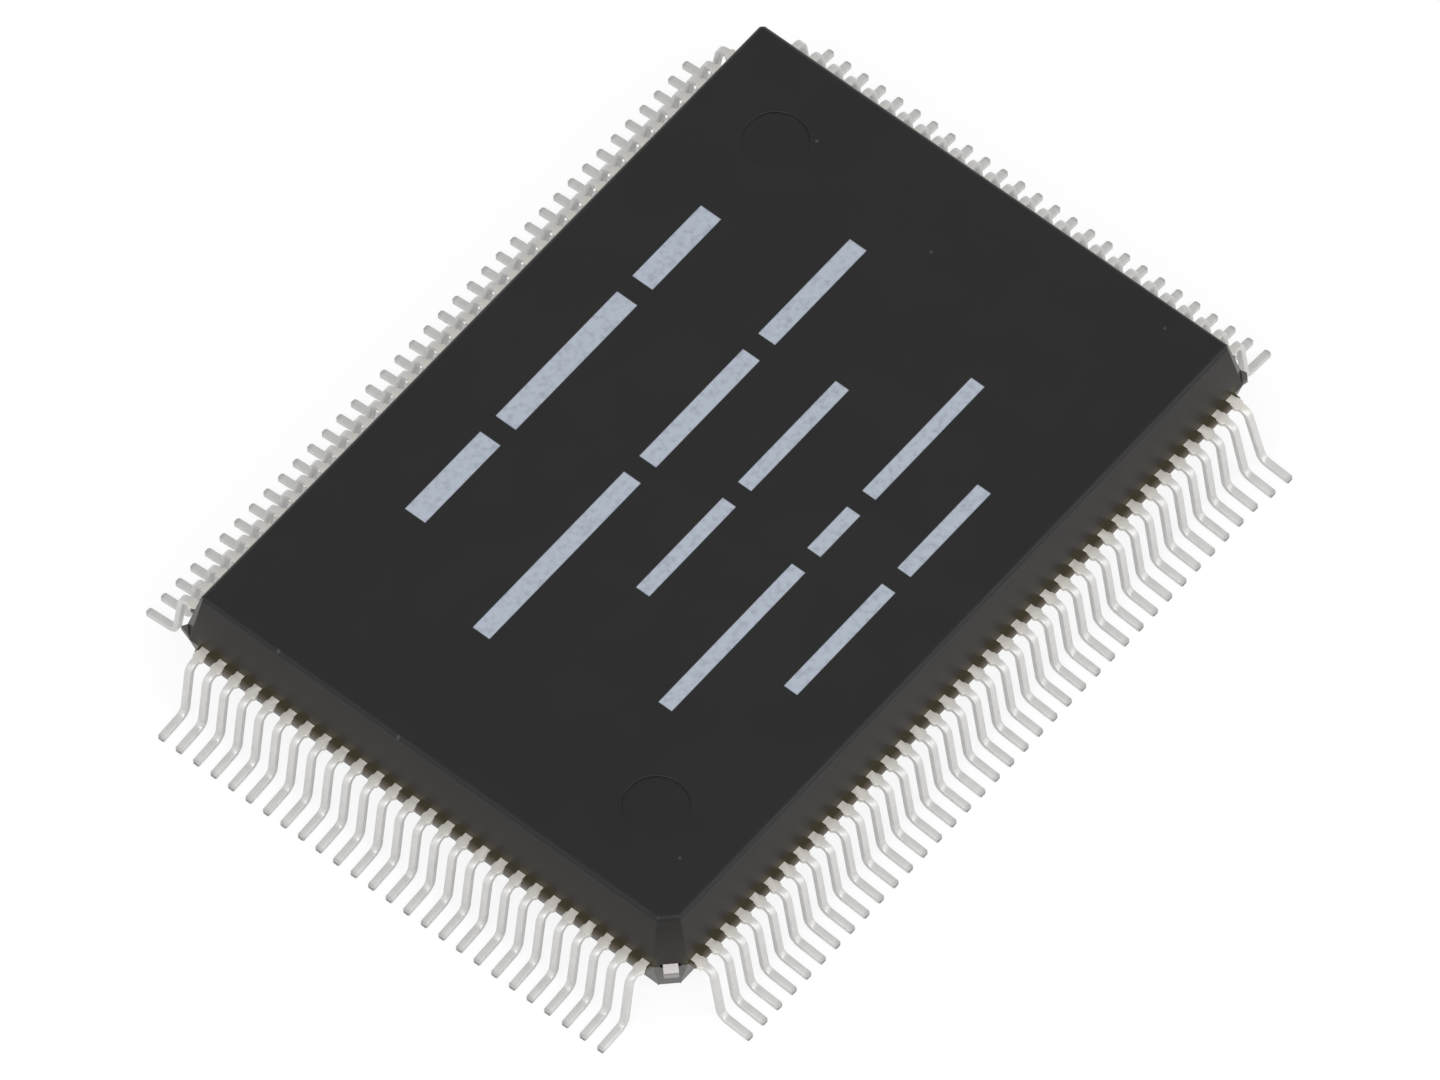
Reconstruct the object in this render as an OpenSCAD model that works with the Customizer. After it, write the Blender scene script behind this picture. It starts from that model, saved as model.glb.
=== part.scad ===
// Quad flat pack with gull-wing leads, resting on its feet.
// Millimetres. +X runs along the long sides, +Z is up.
// The origin is the centre of the footprint on the seating plane.

/* [Moulded body] */
// Length of the moulding at the parting line
body_l = 20; // [17:0.5:24]
// Width of the moulding at the parting line
body_w = 14; // [13:0.5:20]
// Thickness of the moulding
body_h = 2.74; // [2.4:0.02:3.2]
// Gap between the seating plane and the underside
standoff = 0.45; // [0.25:0.05:0.6]
// Depth of the moulding below the parting line
lower_h = 1.31; // [1.1:0.01:1.5]
// Draft of every side, in degrees from upright
draft = 14; // [5:1:16]
// Rounding of the top edges
edge_r = 0.17; // [0.05:0.01:0.25]
// Rounding of the bottom edges
lower_edge_r = 0.05; // [0.02:0.01:0.25]
// Cut across a plain corner, measured along each side at the parting line
corner_cut = 0.28; // [0.2:0.02:0.5]
// Cut across the first lead's corner, measured the same way
first_corner_cut = 0.54; // [0.2:0.02:0.6]

/* [Top dimples] */
// Diameter of a dimple
dimple_d = 1.5; // [0.8:0.1:2]
// Depth of a dimple
dimple_depth = 0.04; // [0.02:0.01:0.15]
// Distance of a dimple's middle from the two sides beside it
dimple_inset = 2.55; // [1.8:0.05:4]

/* [Leads] */
// Distance between neighbouring leads
pitch = 0.5; // [0.45:0.01:0.8]
// Least distance from a row's last lead to the end of its side
row_margin = 0.75; // [0.7:0.05:2]
// Width of a lead at its leg and foot
lead_w = 0.18; // [0.12:0.01:0.22]
// Thickness of the sheet that the leads are stamped from
sheet_t = 0.13; // [0.1:0.01:0.18]
// Reach of a lead beyond the parting line
lead_reach = 1.6; // [1.3:0.05:2]
// Radius of the upper bend, at the middle of the sheet
upper_bend_r = 0.22; // [0.12:0.01:0.3]
// Radius of the lower bend, at the middle of the sheet
lower_bend_r = 0.25; // [0.1:0.01:0.35]
// Lean of the leg, in degrees from upright
leg_lean = 8; // [0:0.5:12]
// Slope of the foot down to its toe, in degrees
foot_angle = 7; // [0:0.5:8]
// Cut across each corner of the toe, seen from above
toe_cut = 0.04; // [0.01:0.01:0.06]
// Extra lean of the front row's last lead but one, which was knocked outwards, in degrees
slight_knock = 4.7; // [0:0.1:6]
// Extra lean of the front row's last lead, in degrees
last_knock = 8.8; // [0:0.1:12]

/* [Lead roots] */
// Width of a lead where it leaves the moulding
root_w = 0.22; // [0.18:0.01:0.26]
// Width across the trimmed stubs beside the shoulder
stub_w = 0.28; // [0.26:0.01:0.34]
// Distance of the stubs from the parting line
stub_start = 0.1; // [0.05:0.01:0.12]
// Length of the stubs, with their tapered ends
stub_l = 0.22; // [0.15:0.01:0.22]
// Length of a stub's tapered end
stub_taper = 0.05; // [0.02:0.01:0.07]
// Flat length of the shoulder between the stubs and the upper bend
shoulder_flat = 0.02; // [0.01:0.01:0.2]
// Reach of the resin webs between the roots
web_reach = 0.18; // [0.05:0.01:0.25]
// Reach of the resin webs past a row's last lead
web_margin = 0.05; // [0.02:0.01:0.2]

/* [Corner flash] */
// Width of the resin that crept out at a plain corner, along the corner's face
flash_w = 0.32; // [0.2:0.02:0.4]
// Reach of the blunt flash beyond the corner's face
blunt_flash_l = 0.12; // [0.04:0.01:0.2]
// Width of the blunt flash at its broken end
blunt_flash_end_w = 0.17; // [0.05:0.01:0.2]
// Reach of the pointed flash at the back left corner
sharp_flash_l = 0.15; // [0.04:0.01:0.2]
// Shift of its point along the corner's face, towards the back row
sharp_flash_shift = 0.12; // [-0.15:0.01:0.15]

/* [Inner fingers] */
// Length of a finger inside the parting line
finger_l = 2.8; // [2:0.1:3.2]
// Straight length at the start of a finger
finger_straight = 0.1; // [0.05:0.01:0.15]
// Width of a finger at its tip
finger_tip_w = 0.12; // [0.08:0.01:0.13]
// Gap between the finger tips and the paddle's edge
finger_gap = 0.5; // [0.3:0.05:0.7]
// Distance of the outer finger tips from the paddle's corners
finger_inset = 0.2; // [0.1:0.05:0.6]

/* [Die paddle] */
// Drop of the paddle below the fingers
downset = 0.32; // [0.2:0.02:0.5]
// Width of a tie bar
tie_w = 0.33; // [0.2:0.01:0.38]
// Length of a tie bar before its slope, from the paddle's corner
tie_flat_l = 0.3; // [0.2:0.05:0.8]
// Length of a tie bar's slope, seen from above
tie_slope_l = 0.6; // [0.4:0.05:1.2]
// Depth of a tie bar's end behind a plain corner's face
tie_setback = 0.1; // [0.04:0.01:0.3]
// Reach of the tie bar's cut end beyond the first lead's corner
tie_stub_l = 0.26; // [0.04:0.01:0.36]
// Width of the gap that the resin leaves on each side of that end
tie_gap_w = 0.06; // [0.02:0.01:0.1]
// Depth of that gap behind the corner's face
tie_gap_l = 0.1; // [0.04:0.01:0.2]

/* [Die and wires] */
// Length of the die
die_l = 8.6; // [7.5:0.1:9.5]
// Width of the die
die_w = 5; // [4.8:0.1:5.6]
// Thickness of the die
die_t = 0.3; // [0.2:0.01:0.4]
// Thickness of the adhesive under the die
attach_t = 0.03; // [0.02:0.01:0.06]
// Reach of the adhesive beyond the die
attach_rim = 0.15; // [0.05:0.05:0.3]
// Distance of the bond pads from the die's edge
pad_inset = 0.12; // [0.1:0.01:0.2]
// Distance of the outer bond pads from the die's corners
pad_margin = 0.35; // [0.3:0.05:0.6]
// Thickness of a bond wire
wire_d = 0.03; // [0.02:0.005:0.04]
// Diameter of the ball at a wire's start
ball_d = 0.08; // [0.06:0.01:0.1]
// Height of the ball
ball_h = 0.03; // [0.02:0.005:0.05]
// Height of a wire's loop above the die
loop_h = 0.25; // [0.15:0.01:0.4]
// Level length at the top of the loop
loop_flat_l = 0.5; // [0.3:0.05:0.9]
// Length of the stitch on the finger
stitch_l = 0.12; // [0.08:0.01:0.16]
// Distance of the stitch from the finger's tip
stitch_inset = 0.08; // [0.04:0.01:0.2]

/* [Hidden] */
$fn = 48;
ball_sides = 8;
// Straight steps in each rounded edge and bend
arc_steps = 6;
// Reach of a cutting shape past the surface that it cuts
past = 0.1;

resin = [0.19, 0.19, 0.19];
tin = [0.78, 0.78, 0.77];
alloy = [0.70, 0.69, 0.66];
adhesive = [0.70, 0.70, 0.68];
silicon = [0.35, 0.36, 0.42];
gold = [0.95, 0.78, 0.35];

// Heights
body_top = standoff + body_h;
parting_h = standoff + lower_h;
sheet_bottom = parting_h - sheet_t / 2;
sheet_top = parting_h + sheet_t / 2;
paddle_top = sheet_top - downset;
die_bottom = paddle_top + attach_t;
die_top = die_bottom + die_t;
loop_top = die_top + loop_h;

// The paddle fills the space that the finger tips leave
paddle_inset = finger_l + finger_gap;
paddle_l = body_l - 2 * paddle_inset;
paddle_w = body_w - 2 * paddle_inset;

// Turn of each row about the middle, in degrees
FRONT = 0;
RIGHT = 90;
BACK = 180;
LEFT = 270;

// Signs of x and y at each corner
FIRST_CORNER = [-1, -1];
FRONT_RIGHT = [1, -1];
BACK_RIGHT = [1, 1];
BACK_LEFT = [-1, 1];

// A row's sizes: lead count, then the moulding's and die's half size across the row,
// and the paddle's and die's half size along it
COUNT = 0;
SIDE = 1;
DIE_ACROSS = 2;
PADDLE_ALONG = 3;
DIE_ALONG = 4;
// Guards the count against rounding errors in the division
count_slack = 0.001;
function lead_count(side_l) = floor((side_l - 2 * row_margin) / pitch + count_slack) + 1;
LONG_ROW = [lead_count(body_l), body_w / 2, die_w / 2, paddle_l / 2, die_l / 2];
SHORT_ROW = [lead_count(body_w), body_l / 2, die_l / 2, paddle_w / 2, die_w / 2];

// Places in a row, as distance along it and distance out from the middle
function spread(k, n, half) = half * (2 * k / (n - 1) - 1);
function row_half(row) = pitch * (row[COUNT] - 1) / 2;
function root(k, row) = [spread(k, row[COUNT], row_half(row)), row[SIDE]];
function tip(k, row) = [
    spread(k, row[COUNT], row[PADDLE_ALONG] - finger_inset),
    row[SIDE] - finger_l
];
function pad(k, row) = [
    spread(k, row[COUNT], row[DIE_ALONG] - pad_margin),
    row[DIE_ACROSS] - pad_inset
];
// Lean of a finger away from straight in, in degrees
function finger_lean(k, row) =
    atan2(root(k, row)[0] - tip(k, row)[0], finger_l - finger_straight);
// End of a finger's bond, behind its tip
function bond_end(k, row) =
    tip(k, row)
    + (stitch_inset + stitch_l) * [sin(finger_lean(k, row)), cos(finger_lean(k, row))];

// Points along an arc, between two directions in degrees
function arc(centre, r, from, to) = [
    for (i = [0 : arc_steps])
        let (a = from + (to - from) * i / arc_steps)
            centre + r * [cos(a), sin(a)]
];

// Sheet of the leads, seen from the side with the parting line at x = 0: it bends down at the end
// of the shoulder, and out again into the foot, whose toe just meets the seating plane
shoulder_l = stub_start + stub_l + shoulder_flat;
half_sheet = sheet_t / 2;
foot_up = [sin(foot_angle), cos(foot_angle)];
upper_centre = [shoulder_l, parting_h - upper_bend_r];
plain_toe = [lead_reach - half_sheet * foot_up[0], half_sheet * foot_up[1]];
drop = upper_centre + upper_bend_r * [cos(leg_lean), sin(leg_lean)] - plain_toe;
leg_l =
    (drop[0] * sin(foot_angle) + drop[1] * cos(foot_angle)) / cos(leg_lean + foot_angle)
    - lower_bend_r * tan((90 - leg_lean - foot_angle) / 2);
// A leg that leans out further carries its lower bend and foot with it
function lower_centre(lean) =
    upper_centre
    + (upper_bend_r + lower_bend_r) * [cos(lean), sin(lean)]
    + leg_l * [sin(lean), -cos(lean)];
function toe(lean) = plain_toe + lower_centre(lean) - lower_centre(leg_lean);
function toe_reach(lean) = toe(lean)[0] + half_sheet * foot_up[0];
function sheet_outline(lean) = [
    [-finger_l - past, sheet_bottom],
    [-finger_l - past, sheet_top],
    each arc(upper_centre, upper_bend_r + half_sheet, 90, lean),
    each arc(lower_centre(lean), lower_bend_r - half_sheet, 180 + lean, 270 - foot_angle),
    toe(lean) + half_sheet * foot_up,
    toe(lean) - half_sheet * foot_up,
    each arc(lower_centre(lean), lower_bend_r + half_sheet, 270 - foot_angle, 180 + lean),
    each arc(upper_centre, upper_bend_r - half_sheet, lean, 90)
];
FRONT_KNOCKS = [slight_knock, last_knock];

// Half size of the moulding at a height, for a given half size at the parting line
function side_at(half, z) = half - abs(z - parting_h) * tan(draft);

// Distance from the middle to a corner's cut face at the parting line
function corner_half(cut) = (body_l + body_w - 2 * cut) / (2 * sqrt(2));

// Distance of a rounded edge's centre line from the edge that it rounds off
function edge_inset(r) = r * tan(45 - draft / 2);

// One side of the moulding's section, from the underside up over the parting line to the top
function side_outline(half) = [
    each arc(
        [side_at(half, standoff) - edge_inset(lower_edge_r), standoff + lower_edge_r],
        lower_edge_r, -90, -draft
    ),
    [half, parting_h],
    each arc([side_at(half, body_top) - edge_inset(edge_r), body_top - edge_r], edge_r, draft, 90)
];

// Bar with the moulding's section, set across the direction given in degrees
module section_bar(towards, ahead, behind) {
    back = side_outline(behind);
    rotate(towards)
        rotate([90, 0, 0])
            linear_extrude(height = body_l + body_w, center = true)
                polygon([
                    each side_outline(ahead),
                    for (i = [len(back) - 1 : -1 : 0]) [-back[i][0], back[i][1]]
                ]);
}

// Shape that the mould's cavity gives to the resin
module moulding() {
    plain = corner_half(corner_cut);
    intersection() {
        section_bar(0, body_l / 2, body_l / 2);
        section_bar(90, body_w / 2, body_w / 2);
        section_bar(45, plain, corner_half(first_corner_cut));
        section_bar(-45, plain, plain);
    }
}

// Resin that crept out between the sheet's roots, as one bar for each pair of rows
module web(row) {
    half = row_half(row) + root_w / 2 + web_margin;
    translate([-half, -row[SIDE] - web_reach, sheet_bottom])
        cube([2 * half, 2 * (row[SIDE] + web_reach), sheet_t]);
}

// Places its children at the middle of a corner's face on the parting line, with +X pointing out
module at_corner(corner, cut) {
    translate([corner[0] * (body_l - cut) / 2, corner[1] * (body_w - cut) / 2, 0])
        rotate(atan2(corner[1], corner[0]))
            children();
}

// Resin that crept out at a plain corner, with the end given as points past the corner's face
module flash(corner, end) {
    half = flash_w / 2;
    at_corner(corner, corner_cut)
        translate([0, 0, sheet_bottom])
            linear_extrude(sheet_t)
                polygon([[-sheet_t, -half], [0, -half], each end, [0, half], [-sheet_t, half]]);
}

module blunt_flash(corner) {
    half = blunt_flash_end_w / 2;
    flash(corner, [[blunt_flash_l, -half], [blunt_flash_l, half]]);
}

// Gap that the resin leaves beside the end of the first corner's tie bar
module tie_gap() {
    half = tie_w / 2 + tie_gap_w;
    at_corner(FIRST_CORNER, first_corner_cut)
        translate([-tie_gap_l, -half, sheet_bottom])
            cube([tie_gap_l + past, 2 * half, sheet_t]);
}

// Shallow round marks near two opposite corners of the top
module dimples() {
    for (turn = [0, 180])
        rotate(turn)
            translate([body_l / 2 - dimple_inset, body_w / 2 - dimple_inset, body_top - dimple_depth])
                cylinder(d = dimple_d, h = dimple_depth + past);
}

// Plan of one lead from its finger tip to its toe, pointing towards -Y
module lead_plan(k, row, reach) {
    u = root(k, row)[0];
    side = row[SIDE];
    tip_half = finger_tip_w / 2 / cos(finger_lean(k, row));
    // Half widths of the straight part, with their distance out from the parting line
    steps = [
        [root_w / 2, -finger_straight],
        [root_w / 2, stub_start],
        [stub_w / 2, stub_start + stub_taper],
        [stub_w / 2, stub_start + stub_l - stub_taper],
        [lead_w / 2, stub_start + stub_l],
        [lead_w / 2, reach - toe_cut]
    ];
    last = len(steps) - 1;
    mirror([0, 1])
        polygon([
            tip(k, row) + [-tip_half, 0],
            for (i = [0 : last]) [u - steps[i][0], side + steps[i][1]],
            [u, side + reach - toe_cut + lead_w / 2],
            for (i = [last : -1 : 0]) [u + steps[i][0], side + steps[i][1]],
            tip(k, row) + [tip_half, 0]
        ]);
}

// The leads of a row whose numbers are given: the bent sheet, kept where their plan has metal
module formed_leads(row, numbers, lean) {
    intersection() {
        translate([0, -row[SIDE], 0])
            rotate([90, 0, -90])
                linear_extrude(height = 2 * (row_half(row) + stub_w), center = true)
                    polygon(sheet_outline(lean));
        translate([0, 0, -past])
            linear_extrude(sheet_top + 2 * past)
                for (k = numbers)
                    lead_plan(k, row, toe_reach(lean));
    }
}

// One row of leads, the last of which lean out further by the knocks given
module lead_row(row, turn, knocks = []) {
    plain = row[COUNT] - len(knocks);
    rotate(turn) {
        formed_leads(row, [0 : plain - 1], leg_lean);
        for (i = [0 : 1 : len(knocks) - 1])
            formed_leads(row, [plain + i], leg_lean + knocks[i]);
    }
}

// One bond wire, from its ball on the die up over its loop to its stitch on the finger
module bond_wire(k, row) {
    start = pad(k, row);
    span = bond_end(k, row) - start;
    reach = norm(span);
    half = wire_d / 2;
    translate([start[0], -start[1], 0])
        rotate(atan2(-span[1], span[0])) {
            translate([0, 0, die_top])
                cylinder(d = ball_d, h = ball_h, $fn = ball_sides);
            rotate([90, 0, 0])
                linear_extrude(height = wire_d, center = true)
                    polygon([
                        [-half, die_top + ball_h],
                        [half, die_top + ball_h],
                        [half, loop_top - half],
                        [loop_flat_l, loop_top - half],
                        [reach - stitch_l, sheet_top],
                        [reach, sheet_top],
                        [reach, sheet_top + half],
                        [reach - stitch_l, sheet_top + wire_d],
                        [loop_flat_l, loop_top + half],
                        [-half, loop_top + half]
                    ]);
        }
}

module wire_row(row, turn) {
    rotate(turn)
        for (k = [0 : row[COUNT] - 1])
            bond_wire(k, row);
}

// Tie bar from the paddle up to the leads' level and on past a corner's face, by the length given
module tie_bar(corner, cut, beyond) {
    start = (cut / 2 - paddle_inset) * sqrt(2);
    flat_end = start + tie_flat_l;
    slope_end = flat_end + tie_slope_l;
    level = sheet_bottom - downset;
    at_corner(corner, cut)
        rotate([90, 0, 0])
            linear_extrude(height = tie_w, center = true)
                polygon([
                    [start - tie_w, level],
                    [flat_end, level],
                    [slope_end, sheet_bottom],
                    [beyond, sheet_bottom],
                    [beyond, sheet_top],
                    [slope_end, sheet_top],
                    [flat_end, paddle_top],
                    [start - tie_w, paddle_top]
                ]);
}

module die_paddle() {
    color(alloy)
        union() {
            translate([-paddle_l / 2, -paddle_w / 2, paddle_top - sheet_t])
                cube([paddle_l, paddle_w, sheet_t]);
            tie_bar(FIRST_CORNER, first_corner_cut, tie_stub_l);
            for (corner = [FRONT_RIGHT, BACK_RIGHT, BACK_LEFT])
                tie_bar(corner, corner_cut, -tie_setback);
        }
}

module die_attach() {
    size = [die_l + 2 * attach_rim, die_w + 2 * attach_rim, attach_t];
    color(adhesive)
        translate([-size[0] / 2, -size[1] / 2, paddle_top])
            cube(size);
}

module silicon_die() {
    color(silicon)
        translate([-die_l / 2, -die_w / 2, die_bottom])
            cube([die_l, die_w, die_t]);
}

module leads_front() { color(tin) lead_row(LONG_ROW, FRONT, FRONT_KNOCKS); }
module leads_right() { color(tin) lead_row(SHORT_ROW, RIGHT); }
module leads_back() { color(tin) lead_row(LONG_ROW, BACK); }
module leads_left() { color(tin) lead_row(SHORT_ROW, LEFT); }

module bond_wires_front() { color(gold) wire_row(LONG_ROW, FRONT); }
module bond_wires_right() { color(gold) wire_row(SHORT_ROW, RIGHT); }
module bond_wires_back() { color(gold) wire_row(LONG_ROW, BACK); }
module bond_wires_left() { color(gold) wire_row(SHORT_ROW, LEFT); }

// The resin takes the exact form of what it encloses
module mould_body() {
    color(resin)
        difference() {
            union() {
                moulding();
                web(LONG_ROW);
                rotate(RIGHT)
                    web(SHORT_ROW);
                blunt_flash(FRONT_RIGHT);
                blunt_flash(BACK_RIGHT);
                flash(BACK_LEFT, [[sharp_flash_l, -sharp_flash_shift]]);
            }
            tie_gap();
            dimples();
            leads_front();
            leads_right();
            leads_back();
            leads_left();
            die_paddle();
            die_attach();
            silicon_die();
            bond_wires_front();
            bond_wires_right();
            bond_wires_back();
            bond_wires_left();
        }
}

mould_body();
leads_front();
leads_right();
leads_back();
leads_left();
die_paddle();
die_attach();
silicon_die();
bond_wires_front();
bond_wires_right();
bond_wires_back();
bond_wires_left();
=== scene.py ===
"""Looks of a quad flat pack chip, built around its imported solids. Metres, +Z up."""

import math

import bmesh
import bpy
from mathutils import Matrix, Vector


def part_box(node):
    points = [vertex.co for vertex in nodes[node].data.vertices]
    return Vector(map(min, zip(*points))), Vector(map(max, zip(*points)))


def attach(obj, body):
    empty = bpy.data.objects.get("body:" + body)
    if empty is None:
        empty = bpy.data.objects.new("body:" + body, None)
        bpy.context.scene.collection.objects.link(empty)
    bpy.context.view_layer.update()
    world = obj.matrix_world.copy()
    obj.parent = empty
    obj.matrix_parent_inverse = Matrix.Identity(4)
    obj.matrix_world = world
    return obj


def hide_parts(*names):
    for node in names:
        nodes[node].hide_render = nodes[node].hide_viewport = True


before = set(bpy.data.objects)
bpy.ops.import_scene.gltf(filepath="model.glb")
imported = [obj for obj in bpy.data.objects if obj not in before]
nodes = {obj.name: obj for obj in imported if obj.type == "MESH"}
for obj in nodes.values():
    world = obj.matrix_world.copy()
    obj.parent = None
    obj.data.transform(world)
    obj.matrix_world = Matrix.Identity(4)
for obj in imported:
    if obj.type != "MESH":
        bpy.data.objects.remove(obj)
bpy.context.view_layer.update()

MM = 0.001
LEAD_ROWS = ["leads_front", "leads_right", "leads_back", "leads_left"]
WIRE_ROWS = ["bond_wires_front", "bond_wires_right", "bond_wires_back", "bond_wires_left"]

# Places and sizes on the chip, in millimetres
BODY_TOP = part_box("mould_body")[1].z / MM
TOE_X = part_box("leads_right")[1].x / MM
TOE_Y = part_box("leads_back")[1].y / MM
LEAD_REACH = 1.6
LEAD_PITCH = 0.5
KNOCKED_LEADS = (8.75, 9.25)
SIDE_X = TOE_X - LEAD_REACH
SIDE_Y = TOE_Y - LEAD_REACH
SHEET_HALF = 0.065
TIE_WIDTH = 0.33
PARTING_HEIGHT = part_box("leads_left")[1].z / MM - SHEET_HALF
DIMPLE_INSET = 2.55
DIMPLE_X = SIDE_X - DIMPLE_INSET
DIMPLE_Y = SIDE_Y - DIMPLE_INSET
DIMPLE_RADIUS = 0.75
TOP_EDGE = 0.17
CORNER_CUT = 0.28

# Where one look turns into the next, in millimetres. A pair gives both ends of the change.
TOP_TURN = (BODY_TOP - 0.02, BODY_TOP - 0.01)
WEB_TURN = (0.06, 0.16)
CORNER_TURN = (0.45, 0.55)
ROOT_TURN = (LEAD_REACH - 0.5, LEAD_REACH - 0.15)
TOE_TURN = (0.0, 0.14)
FOOT_TURN = (0.20, 0.30)
SHEARED_TURN = (0.02, 0.08)
PARTING_REACH = 0.35
PARTING_FADE = 0.3
FLASH_FADE = 0.02
DIMPLE_FADE = 0.1
LEAD_FADE = 0.01

# How squarely a lead's end faces out, from where it starts to look bare to where it does
FACING_TURN = (0.5, 0.9)

# Pale specks of dust on the top and its left edge, as (x, y), in millimetres
SPECKS = [
    (8.01, 3.73), (7.36, -0.06), (9.08, -5.29),
    (-8.15, -5.70), (-9.62, 4.44), (-9.64, 1.02),
]
SPECK_RADIUS = 0.05

# Plain bars in the place of a printed marking: the middle of each row across the chip,
# the height of its bars and their lengths, in millimetres
MARKING = [
    (4.35, 0.60, (2.6, 4.2, 2.4)),
    (1.30, 0.50, (5.2, 3.6, 3.2)),
    (-0.75, 0.40, (3.0, 3.4)),
    (-3.00, 0.40, (4.6, 1.4, 3.8)),
    (-4.85, 0.40, (3.4, 2.8)),
]
MARKING_GAP = 0.5
MARKING_FADE = 0.03

# Rounded edges: their width in millimetres and their steps
LEAD_ROUNDING = (0.012, 2)
CORNER_ROUNDING = (0.03, 3)
RIM_ROUNDING = (0.035, 5)

# What counts as one point, in metres, as one face, as a smooth edge and as a sharp one
SAME_POINT = 1e-7
SAME_FACE = math.radians(0.5)
SMOOTH_ANGLE = math.radians(22)
SHARP_ANGLE = math.radians(35)

# What counts as an edge of the first corner's cut: its distance from the corner, its rise,
# its angle, and its least distance from the parting, around which the tie bar comes out
CUT_EDGE_REACH = 1.0
CUT_EDGE_RISE = 0.1
CUT_EDGE_ANGLES = (math.radians(15), math.radians(50))
TIE_BAR_REACH = 1.1 * SHEET_HALF

# What counts as a dimple's rim: its distance from the top and its angle
RIM_REACH = 0.001
RIM_ANGLE = math.radians(60)

# Linear colours. A pair gives the two ends of a change across the surface.
TOP_COLOURS = (0.0116, 0.0116, 0.0118), (0.0138, 0.0138, 0.0136)
SIDE_COLOURS = (0.0125, 0.0098, 0.0084), (0.0262, 0.0222, 0.0188)
BETWEEN_ROOTS_COLOUR = (0.054, 0.045, 0.026)
# Painted light: the flash is the same resin, painted much paler to make up for the shade that it
# lies in
FLASH_PAINTED_LIGHT_COLOUR = (0.115, 0.108, 0.100)
WEB_COLOUR = (0.12, 0.10, 0.076)
DUST_COLOUR = (0.05, 0.05, 0.05)
INK_COLOUR = (0.43, 0.475, 0.55)
TIN_COLOURS = (0.625, 0.62, 0.605), (0.665, 0.66, 0.65)
# Painted light: the roots are paler and warmer than the tin, to make up for the shade that the
# body casts on the shoulders
ROOT_PAINTED_LIGHT_COLOUR = (0.78, 0.75, 0.69)
TOE_COLOUR = (0.40, 0.395, 0.39)
TOE_END_COLOUR = (0.16, 0.155, 0.15)
ALLOY_COLOURS = (0.86, 0.81, 0.81), (0.90, 0.85, 0.85)
SHEARED_COLOUR = (0.30, 0.29, 0.28)
ADHESIVE_COLOURS = (0.50, 0.50, 0.48), (0.42, 0.42, 0.40)
SILICON_COLOURS = (0.10, 0.11, 0.15), (0.12, 0.13, 0.17)
GOLD_COLOURS = (0.90, 0.60, 0.15), (0.85, 0.56, 0.14)

# Roughness that the dimples lack and that the ink adds, and the noises' finer layers
DIMPLE_POLISH = 0.1
INK_ROUGHNESS = 0.2
NOISE_DETAIL = 3.0

# Floor: its half size and its drop below the toes, in metres, its tone as it lights the chip,
# and the shaded and glowing shares of what is seen of it
FLOOR_HALF = 4.0
FLOOR_DROP = 0.002 * MM
FLOOR_TONE = 0.85
FLOOR_SHADED = 0.14
FLOOR_GLOW = 0.88

# Sky: its level at the horizon and overhead, and as it lights the chip and as it is seen
SKY_HORIZON = 1.0
SKY_OVERHEAD = 0.92
SKY_LIGHTING = 0.75
SKY_SEEN = 1.0

# The photograph's camera: where it looks, from where, and through which lens. The image and
# the focal length are in pixels, the sensor in millimetres and the rest in metres.
CAMERA_TARGET = Vector((0.17, 0.06, 0.0)) * MM
CAMERA_DISTANCE = 526.9 * MM
CAMERA_HEADING = math.radians(49.94)
CAMERA_ELEVATION = math.radians(58.25)
CAMERA_ROLL = math.radians(-0.63)
CLIP_NEAR = 0.01
CLIP_FAR = 100
IMAGE_WIDTH = 1440
FOCAL_LENGTH = 23924
SENSOR_WIDTH = 36.0


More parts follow.
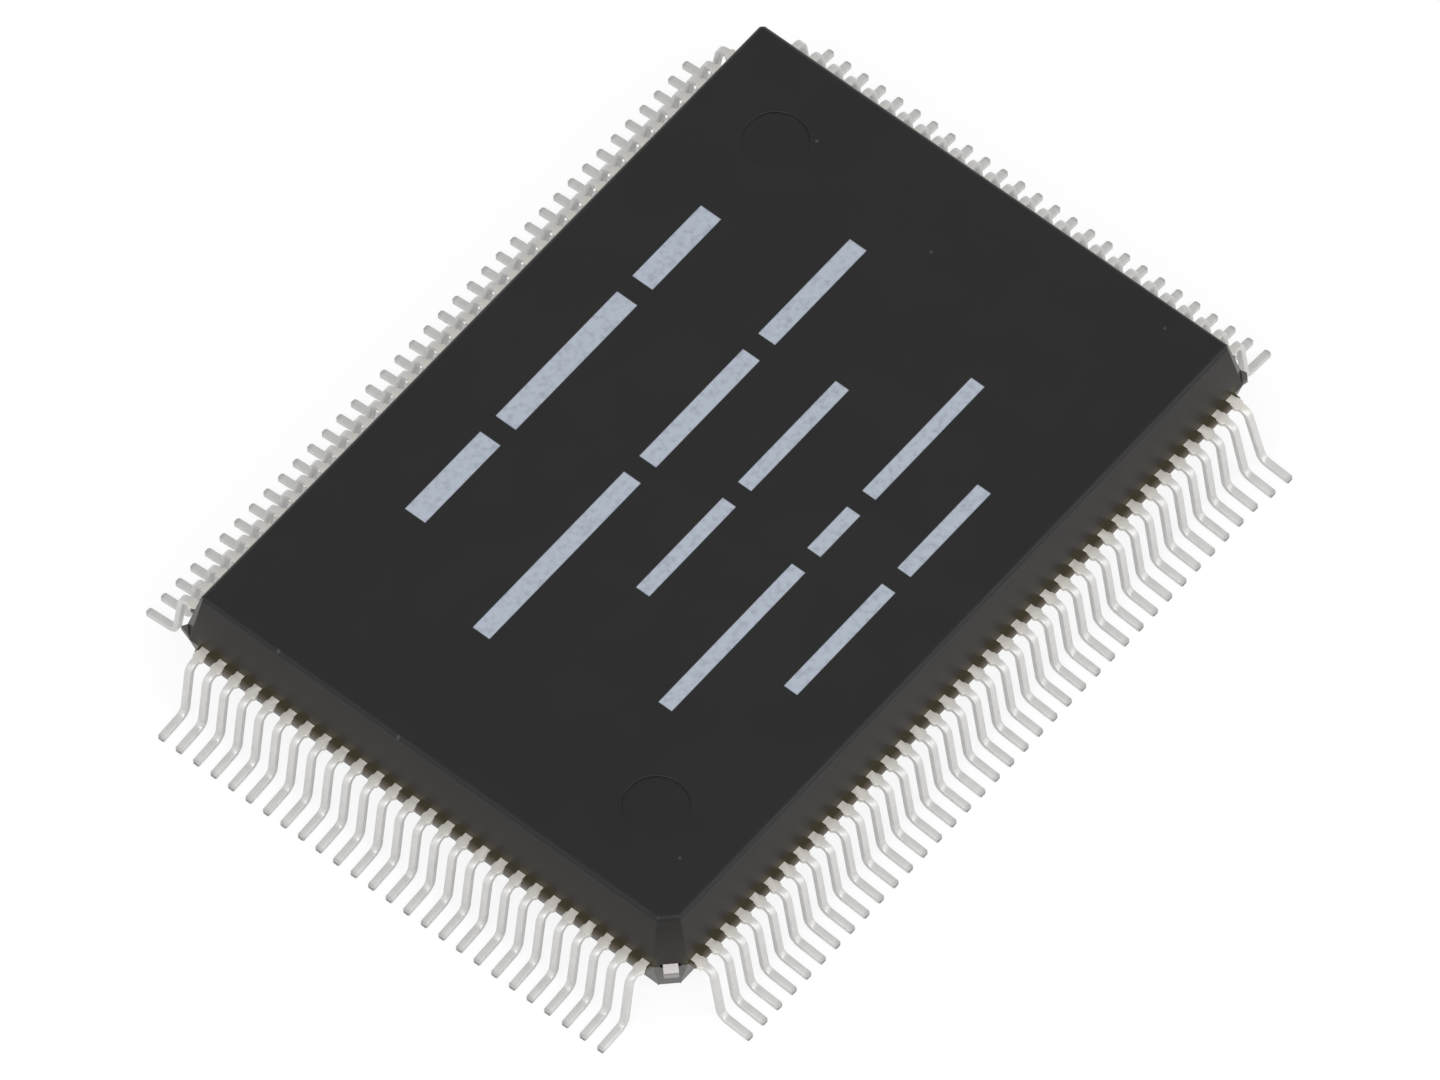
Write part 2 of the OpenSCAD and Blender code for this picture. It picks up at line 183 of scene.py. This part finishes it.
class Finish:
    """A material's nodes, written as short calls, with places in millimetres.

    A value may be a number, a colour or another node's output.
    """

    def __init__(self, name):
        self.material = bpy.data.materials.new(name)
        self.material.use_nodes = True
        self.tree = self.material.node_tree
        self.tree.nodes.clear()
        self.shader = self.add("ShaderNodeBsdfPrincipled")
        output = self.add("ShaderNodeOutputMaterial")
        self.tree.links.new(self.shader.outputs["BSDF"], output.inputs["Surface"])
        in_mm = self.add("ShaderNodeVectorMath", operation="SCALE")
        self.set(in_mm.inputs["Vector"], self.add("ShaderNodeTexCoord").outputs["Object"])
        in_mm.inputs["Scale"].default_value = 1 / MM
        self.place = in_mm.outputs["Vector"]
        split = self.add("ShaderNodeSeparateXYZ")
        self.set(split.inputs["Vector"], self.place)
        self.x, self.y, self.z = split.outputs

    def add(self, kind, **settings):
        """New node of a kind, with its own settings."""
        node = self.tree.nodes.new(kind)
        for name, value in settings.items():
            setattr(node, name, value)
        return node

    def set(self, socket, value):
        """Links another node's output to a socket, or sets the socket itself."""
        if isinstance(value, bpy.types.NodeSocket):
            self.tree.links.new(value, socket)
        elif socket.type == "RGBA":
            socket.default_value = (*value, 1.0)
        else:
            socket.default_value = value

    def look(self, name, value):
        """Gives the surface one of its qualities."""
        self.set(self.shader.inputs[name], value)

    def math(self, operation, *values):
        """Output of an operation on some values."""
        node = self.add("ShaderNodeMath", operation=operation)
        for socket, value in zip(node.inputs, values):
            self.set(socket, value)
        return node.outputs["Value"]

    def product(self, first, second):
        return self.math("MULTIPLY", first, second)

    def magnitude(self, value):
        return self.math("ABSOLUTE", value)

    def ramp(self, value, low, high, to_low=0.0, to_high=1.0):
        """Smooth step from to_low, where value is low, to to_high, where it is high."""
        node = self.add("ShaderNodeMapRange", interpolation_type="SMOOTHSTEP")
        self.set(node.inputs["Value"], value)
        self.set(node.inputs["From Min"], low)
        self.set(node.inputs["From Max"], high)
        self.set(node.inputs["To Min"], to_low)
        self.set(node.inputs["To Max"], to_high)
        return node.outputs["Result"]

    def fall(self, value, low, high, start=1.0):
        """Smooth step from start, where value is low, to 0, where it is high."""
        return self.ramp(value, low, high, start, 0.0)

    def within(self, value, middle, reach, fade):
        """1 where value is nearer to middle than reach, with an edge that fades to 0."""
        away = self.magnitude(self.math("SUBTRACT", value, middle))
        return self.fall(away, reach - fade, reach)

    def disc(self, x, y, radius, fade):
        """1 inside an upright cylinder around (x, y), with an edge that fades to 0."""
        away = self.add("ShaderNodeVectorMath", operation="DISTANCE")
        flat = self.add("ShaderNodeCombineXYZ")
        self.set(flat.inputs["X"], self.x)
        self.set(flat.inputs["Y"], self.y)
        self.set(away.inputs[0], flat.outputs["Vector"])
        away.inputs[1].default_value = (x, y, 0)
        return self.fall(away.outputs["Value"], radius - fade, radius)

    def mix(self, share, first, second):
        """Colour between first, where share is 0, and second, where it is 1."""
        node = self.add("ShaderNodeMix", data_type="RGBA")
        self.set(node.inputs["Factor"], share)
        self.set(node.inputs["A"], first)
        self.set(node.inputs["B"], second)
        return node.outputs["Result"]

    def noise(self, per_mm):
        """Cloudy pattern with about per_mm features in a millimetre."""
        node = self.add("ShaderNodeTexNoise")
        self.set(node.inputs["Vector"], self.place)
        node.inputs["Scale"].default_value = per_mm
        node.inputs["Detail"].default_value = NOISE_DETAIL
        return node.outputs["Fac"]

    def patches(self, per_mm, clip, to=(0.0, 1.0)):
        """Such a pattern, with what lies between the ends of clip spread over those of to."""
        return self.ramp(self.noise(per_mm), *clip, *to)

    def outside(self, half_x, half_y):
        """Distance outside a rectangle about the middle, seen from above."""
        return self.math(
            "MAXIMUM",
            self.math("SUBTRACT", self.magnitude(self.x), half_x),
            self.math("SUBTRACT", self.magnitude(self.y), half_y),
        )

    def inside_both(self, half_x, half_y):
        """Distance inside that rectangle's corner, the greater of the two along x and y."""
        return self.math(
            "MAXIMUM",
            self.math("SUBTRACT", half_x, self.magnitude(self.x)),
            self.math("SUBTRACT", half_y, self.magnitude(self.y)),
        )

    def facing_out(self, half_x, half_y):
        """How squarely a surface outside that rectangle faces away from its middle."""
        normal = self.add("ShaderNodeSeparateXYZ")
        self.set(normal.inputs["Vector"], self.add("ShaderNodeNewGeometry").outputs["Normal"])
        sides = ((self.x, half_x, normal.outputs["X"]), (self.y, half_y, normal.outputs["Y"]))
        shares = []
        for place, half, facing in sides:
            beyond = self.math("GREATER_THAN", self.magnitude(place), half)
            outwards = self.product(self.math("SIGN", place), facing)
            shares.append(self.product(beyond, outwards))
        return self.math("ADD", *shares)

    def bump(self, height, depth):
        """Makes the surface look uneven, with a depth in millimetres."""
        node = self.add("ShaderNodeBump")
        self.set(node.inputs["Height"], height)
        node.inputs["Distance"].default_value = depth * MM
        self.tree.links.new(node.outputs["Normal"], self.shader.inputs["Normal"])


def marking_share(finish):
    """1 on the marking's bars, patchy as thin ink is."""
    share = 0.0
    for y, height, lengths in MARKING:
        start = -(sum(lengths) + MARKING_GAP * (len(lengths) - 1)) / 2
        bars = 0.0
        for length in lengths:
            bar = finish.within(finish.x, start + length / 2, length / 2, MARKING_FADE)
            bars = finish.math("ADD", bars, bar)
            start += length + MARKING_GAP
        in_row = finish.within(finish.y, y, height / 2, MARKING_FADE)
        share = finish.math("ADD", share, finish.product(bars, in_row))
    on_top = finish.ramp(finish.z, *TOP_TURN)
    ink = finish.patches(per_mm=7.0, clip=(0.2, 0.6), to=(0.75, 1.0))
    return finish.product(finish.product(share, on_top), ink)


def side_share(finish):
    """1 on the moulding's sides, with a ragged change to its top."""
    half = TOP_EDGE / 2
    ragged = finish.patches(per_mm=2.5, clip=(0.3, 0.7), to=(-half, half))
    height = finish.math("ADD", finish.z, ragged)
    return finish.fall(height, BODY_TOP - 1.5 * TOP_EDGE, BODY_TOP - half)


def between_roots_share(finish):
    """1 on the moulding's sides between the roots of the leads, and 0 by its corners."""
    by_parting = finish.within(finish.z, PARTING_HEIGHT, PARTING_REACH, PARTING_FADE)
    by_leads = finish.ramp(finish.inside_both(SIDE_X, SIDE_Y), *CORNER_TURN)
    return finish.product(by_parting, by_leads)


def flash_painted_light_share(finish):
    """1 on the broken flash, which stands out beyond the cut corners and is given painted light.
    """
    reach = finish.math("ADD", finish.magnitude(finish.x), finish.magnitude(finish.y))
    cut = SIDE_X + SIDE_Y - CORNER_CUT
    return finish.ramp(reach, cut - FLASH_FADE, cut + FLASH_FADE)


def resin():
    """Black resin, browner down its sides, with paler webs, painted light on the flash, dust and a
    marking.
    """
    finish = Finish("resin")
    colour = finish.mix(finish.patches(per_mm=0.5, clip=(0.3, 0.7)), *TOP_COLOURS)
    down_side = finish.fall(finish.z, PARTING_HEIGHT, BODY_TOP)
    colour = finish.mix(side_share(finish), colour, finish.mix(down_side, *SIDE_COLOURS))
    colour = finish.mix(between_roots_share(finish), colour, BETWEEN_ROOTS_COLOUR)
    # Painted light on the flash, against the shade that it lies in
    colour = finish.mix(flash_painted_light_share(finish), colour, FLASH_PAINTED_LIGHT_COLOUR)
    on_web = finish.ramp(finish.outside(SIDE_X, SIDE_Y), *WEB_TURN)
    colour = finish.mix(on_web, colour, WEB_COLOUR)
    for x, y in SPECKS:
        speck = finish.disc(x, y, SPECK_RADIUS, SPECK_RADIUS / 2)
        colour = finish.mix(speck, colour, DUST_COLOUR)
    marked = marking_share(finish)
    finish.look("Base Color", finish.mix(marked, colour, INK_COLOUR))
    dimpled = finish.math(
        "ADD",
        finish.disc(DIMPLE_X, DIMPLE_Y, DIMPLE_RADIUS, DIMPLE_FADE),
        finish.disc(-DIMPLE_X, -DIMPLE_Y, DIMPLE_RADIUS, DIMPLE_FADE),
    )
    grain = finish.patches(per_mm=1.3, clip=(0.2, 0.8), to=(0.32, 0.38))
    polished = finish.math("SUBTRACT", grain, finish.product(dimpled, DIMPLE_POLISH))
    inked = finish.math("ADD", polished, finish.product(marked, INK_ROUGHNESS))
    finish.look("Roughness", inked)
    finish.look("Specular IOR Level", 0.25)
    finish.bump(finish.noise(per_mm=16.0), depth=0.0015)
    return finish.material


def knocked_reach(x):
    """How far the front lead at x stands out beyond the straight ones."""
    points = (vertex.co / MM for vertex in nodes["leads_front"].data.vertices)
    return max(-point.y for point in points if abs(point.x - x) < LEAD_PITCH / 2) - TOE_Y


def distance_from_toe(finish):
    """Distance in from the end of a lead."""
    beyond = finish.outside(TOE_X, TOE_Y)
    in_front = finish.math("LESS_THAN", finish.y, 0.0)
    for x in KNOCKED_LEADS:
        at_x = finish.within(finish.x, x, LEAD_PITCH / 2, LEAD_FADE)
        on_lead = finish.product(in_front, at_x)
        beyond = finish.math("SUBTRACT", beyond, finish.product(on_lead, knocked_reach(x)))
    return finish.product(beyond, -1.0)


def tin():
    """Matt tin, painted paler and warmer at the roots as painted light, darker at the toes, with
    bare metal on the cut ends.
    """
    finish = Finish("tin")
    from_toe = distance_from_toe(finish)
    colour = finish.mix(finish.patches(per_mm=4.0, clip=(0.3, 0.7)), *TIN_COLOURS)
    # Painted light at the roots, against the shade of the body
    colour = finish.mix(finish.ramp(from_toe, *ROOT_TURN), colour, ROOT_PAINTED_LIGHT_COLOUR)
    colour = finish.mix(finish.fall(from_toe, *TOE_TURN, start=0.7), colour, TOE_COLOUR)
    on_foot = finish.fall(finish.z, *FOOT_TURN)
    outwards = finish.ramp(finish.facing_out(SIDE_X, SIDE_Y), *FACING_TURN)
    on_end = finish.product(on_foot, outwards)
    bare = finish.product(on_end, finish.patches(per_mm=12.0, clip=(0.35, 0.65), to=(0.6, 1.0)))
    finish.look("Base Color", finish.mix(bare, colour, TOE_END_COLOUR))
    finish.look("Metallic", 0.45)
    finish.look("Roughness", finish.patches(per_mm=9.0, clip=(0.25, 0.75), to=(0.36, 0.46)))
    finish.bump(finish.noise(per_mm=24.0), depth=0.002)
    return finish.material


def alloy():
    """Bare sheet, darker on the sheared end of the tie bar that shows at the first corner."""
    finish = Finish("alloy")
    colour = finish.mix(finish.noise(per_mm=3.0), *ALLOY_COLOURS)
    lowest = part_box("die_paddle")[0] / MM
    end = lowest.x + lowest.y + TIE_WIDTH / math.sqrt(2)
    start_turn, end_turn = SHEARED_TURN
    along = finish.math("ADD", finish.x, finish.y)
    sheared = finish.fall(along, end + start_turn, end + end_turn)
    finish.look("Base Color", finish.mix(sheared, colour, SHEARED_COLOUR))
    finish.look("Metallic", 0.25)
    finish.look("Roughness", finish.patches(per_mm=9.0, clip=(0.25, 0.75), to=(0.35, 0.45)))
    finish.bump(finish.noise(per_mm=20.0), depth=0.002)
    return finish.material


def plain(name, colours, metallic, roughness):
    """Finish with a faint mottle, for the pieces inside the resin."""
    finish = Finish(name)
    finish.look("Base Color", finish.mix(finish.noise(per_mm=3.0), *colours))
    finish.look("Metallic", metallic)
    finish.look("Roughness", roughness)
    finish.bump(finish.noise(per_mm=20.0), depth=0.002)
    return finish.material


def paint(names, material):
    """Gives the named solids a material."""
    for name in names:
        nodes[name].data.materials.clear()
        nodes[name].data.materials.append(material)


def soften_edges(name, width, steps):
    """Joins the solid's faces, then rounds its sharp edges."""
    piece = nodes[name]
    weld = piece.modifiers.new("weld", "WELD")
    weld.merge_threshold = SAME_POINT
    flat = piece.modifiers.new("flat_faces", "DECIMATE")
    flat.decimate_type = "DISSOLVE"
    flat.angle_limit = SAME_FACE
    edge = piece.modifiers.new("soft_edges", "BEVEL")
    edge.width = width * MM
    edge.segments = steps
    edge.limit_method = "ANGLE"
    edge.angle_limit = SHARP_ANGLE
    shade = piece.modifiers.new("shading", "WEIGHTED_NORMAL")
    shade.keep_sharp = False


def is_first_corner_edge(edge):
    """Whether an edge runs up the wide cut at the first lead's corner."""
    ends = [end.co / MM for end in edge.verts]
    run = ends[1] - ends[0]
    steep = abs(run.z) > CUT_EDGE_RISE * run.length
    beside_corner = all(
        end.x < CUT_EDGE_REACH - SIDE_X and end.y < CUT_EDGE_REACH - SIDE_Y for end in ends
    )
    by_tie_bar = all(abs(end.z - PARTING_HEIGHT) < TIE_BAR_REACH for end in ends)
    least, most = CUT_EDGE_ANGLES
    blunt = least < edge.calc_face_angle(0.0) < most
    return steep and beside_corner and blunt and not by_tie_bar


def is_dimple_rim(edge):
    """Whether an edge lies on the rim of a dimple in the top."""
    on_top = all(abs(end.co.z / MM - BODY_TOP) < RIM_REACH for end in edge.verts)
    return on_top and edge.calc_face_angle(0.0) > RIM_ANGLE


def round_edges(form, chosen, width, steps):
    """Rounds those edges of a form that a test has chosen."""
    edges = [edge for edge in form.edges if chosen(edge)]
    bmesh.ops.bevel(
        form, geom=edges, offset=width * MM, segments=steps, profile=0.5, affect="EDGES"
    )


def soft_moulding(material):
    """Stands for the moulding's solid, with joined faces, and a rounded cut and dimple rims."""
    mesh = nodes["mould_body"].data.copy()
    mesh.attributes.remove(mesh.attributes["custom_normal"])
    form = bmesh.new()
    form.from_mesh(mesh)
    bmesh.ops.remove_doubles(form, verts=form.verts, dist=SAME_POINT)
    bmesh.ops.dissolve_limit(form, angle_limit=SAME_FACE, verts=form.verts, edges=form.edges)
    round_edges(form, is_first_corner_edge, *CORNER_ROUNDING)
    round_edges(form, is_dimple_rim, *RIM_ROUNDING)
    for face in form.faces:
        face.smooth = True
    for edge in form.edges:
        edge.smooth = edge.calc_face_angle(0.0) < SMOOTH_ANGLE
    form.to_mesh(mesh)
    form.free()
    mesh.materials.clear()
    mesh.materials.append(material)
    piece = bpy.data.objects.new("moulding", mesh)
    bpy.context.scene.collection.objects.link(piece)
    shade = piece.modifiers.new("shading", "WEIGHTED_NORMAL")
    shade.keep_sharp = True
    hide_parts("mould_body")
    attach(piece, "root")


def seen_share(tree):
    """1 for rays that show the backdrop, straight or mirrored, and 0 for those that only light."""
    path = tree.nodes.new("ShaderNodeLightPath")
    share = path.outputs["Is Camera Ray"]
    for name in ("Is Glossy Ray", "Is Transmission Ray"):
        either = tree.nodes.new("ShaderNodeMath")
        either.operation = "MAXIMUM"
        tree.links.new(share, either.inputs[0])
        tree.links.new(path.outputs[name], either.inputs[1])
        share = either.outputs["Value"]
    return share


def matt_grey(tree, tone):
    """Output of a matt shader in one tone of grey."""
    shader = tree.nodes.new("ShaderNodeBsdfDiffuse")
    shader.inputs["Color"].default_value = (tone, tone, tone, 1)
    return shader.outputs["BSDF"]


def floor_material():
    """Pale floor. What is seen of it glows white, and its matt share holds the shadow."""
    material = bpy.data.materials.new("pale_floor")
    material.use_nodes = True
    tree = material.node_tree
    tree.nodes.clear()
    glow = tree.nodes.new("ShaderNodeEmission")
    glow.inputs["Strength"].default_value = FLOOR_GLOW
    shown = tree.nodes.new("ShaderNodeAddShader")
    tree.links.new(matt_grey(tree, FLOOR_SHADED), shown.inputs[0])
    tree.links.new(glow.outputs["Emission"], shown.inputs[1])
    either = tree.nodes.new("ShaderNodeMixShader")
    tree.links.new(seen_share(tree), either.inputs["Fac"])
    tree.links.new(matt_grey(tree, FLOOR_TONE), either.inputs[1])
    tree.links.new(shown.outputs["Shader"], either.inputs[2])
    output = tree.nodes.new("ShaderNodeOutputMaterial")
    tree.links.new(either.outputs["Shader"], output.inputs["Surface"])
    return material


def add_floor():
    """Flat floor just under the toes."""
    mesh = bpy.data.meshes.new("floor")
    half = FLOOR_HALF
    corners = [(-half, -half, 0), (half, -half, 0), (half, half, 0), (-half, half, 0)]
    mesh.from_pydata(corners, [], [(0, 1, 2, 3)])
    mesh.materials.append(floor_material())
    plane = bpy.data.objects.new("floor", mesh)
    plane.location.z = -FLOOR_DROP
    bpy.context.scene.collection.objects.link(plane)


def level_between(tree, value, low, high):
    """Level that runs from low to high as value goes from 0 to 1."""
    node = tree.nodes.new("ShaderNodeMapRange")
    node.inputs["To Min"].default_value = low
    node.inputs["To Max"].default_value = high
    tree.links.new(value, node.inputs["Value"])
    return node.outputs["Result"]


def add_world():
    """Sky that is a little dimmer overhead than at the horizon."""
    sky = bpy.data.worlds.new("studio")
    bpy.context.scene.world = sky
    sky.use_nodes = True
    tree = sky.node_tree
    tree.nodes.clear()
    direction = tree.nodes.new("ShaderNodeTexCoord").outputs["Generated"]
    split = tree.nodes.new("ShaderNodeSeparateXYZ")
    tree.links.new(direction, split.inputs["Vector"])
    by_height = level_between(tree, split.outputs["Z"], SKY_HORIZON, SKY_OVERHEAD)
    by_ray = level_between(tree, seen_share(tree), SKY_LIGHTING, SKY_SEEN)
    level = tree.nodes.new("ShaderNodeMath")
    level.operation = "MULTIPLY"
    tree.links.new(by_height, level.inputs[0])
    tree.links.new(by_ray, level.inputs[1])
    light = tree.nodes.new("ShaderNodeBackground")
    tree.links.new(level.outputs["Value"], light.inputs["Strength"])
    output = tree.nodes.new("ShaderNodeOutputWorld")
    tree.links.new(light.outputs["Background"], output.inputs["Surface"])


def add_softbox(name, towards, distance, size, power):
    """Square lamp that stands in a direction from the chip and shines at it."""
    lamp = bpy.data.lights.new(name, "AREA")
    lamp.size = size
    lamp.energy = power
    rig = bpy.data.objects.new(name, lamp)
    direction = Vector(towards).normalized()
    rig.location = direction * distance
    rig.rotation_euler = direction.to_track_quat("Z", "Y").to_euler()
    bpy.context.scene.collection.objects.link(rig)


def add_camera():
    """The photograph's camera, turned so that it looks at its target."""
    lens = bpy.data.cameras.new("camera")
    lens.sensor_width = SENSOR_WIDTH
    lens.lens = SENSOR_WIDTH * FOCAL_LENGTH / IMAGE_WIDTH
    lens.clip_start = CLIP_NEAR
    lens.clip_end = CLIP_FAR
    rig = bpy.data.objects.new("camera", lens)
    ahead = Vector((
        math.sin(CAMERA_HEADING) * math.cos(CAMERA_ELEVATION),
        math.cos(CAMERA_HEADING) * math.cos(CAMERA_ELEVATION),
        -math.sin(CAMERA_ELEVATION),
    ))
    level = Vector((math.cos(CAMERA_HEADING), -math.sin(CAMERA_HEADING), 0))
    upright = level.cross(ahead)
    right = level * math.cos(CAMERA_ROLL) + upright * math.sin(CAMERA_ROLL)
    up = upright * math.cos(CAMERA_ROLL) - level * math.sin(CAMERA_ROLL)
    turn = Matrix((right, up, -ahead)).transposed().to_4x4()
    rig.matrix_world = Matrix.Translation(CAMERA_TARGET - ahead * CAMERA_DISTANCE) @ turn
    bpy.context.scene.collection.objects.link(rig)
    bpy.context.scene.camera = rig


add_camera()
add_floor()
add_world()
add_softbox("front_box", towards=(0.40, -0.85, 0.36), distance=0.40, size=0.24, power=0.27)
add_softbox("left_box", towards=(-0.85, 0.34, 0.42), distance=0.40, size=0.24, power=0.14)
add_softbox("front_key", towards=(-0.12, -0.62, 0.775), distance=0.50, size=0.20, power=0.55)
add_softbox("left_key", towards=(-0.62, -0.12, 0.775), distance=0.50, size=0.20, power=0.55)

resin_finish = resin()
paint(["mould_body"], resin_finish)
soft_moulding(resin_finish)
paint(LEAD_ROWS, tin())
paint(["die_paddle"], alloy())
paint(["die_attach"], plain("adhesive", ADHESIVE_COLOURS, metallic=0.3, roughness=0.6))
paint(["silicon_die"], plain("silicon", SILICON_COLOURS, metallic=0.6, roughness=0.2))
paint(WIRE_ROWS, plain("gold", GOLD_COLOURS, metallic=1.0, roughness=0.25))
for lead_row in LEAD_ROWS:
    soften_edges(lead_row, *LEAD_ROUNDING)

bpy.context.scene.view_settings.view_transform = "Standard"
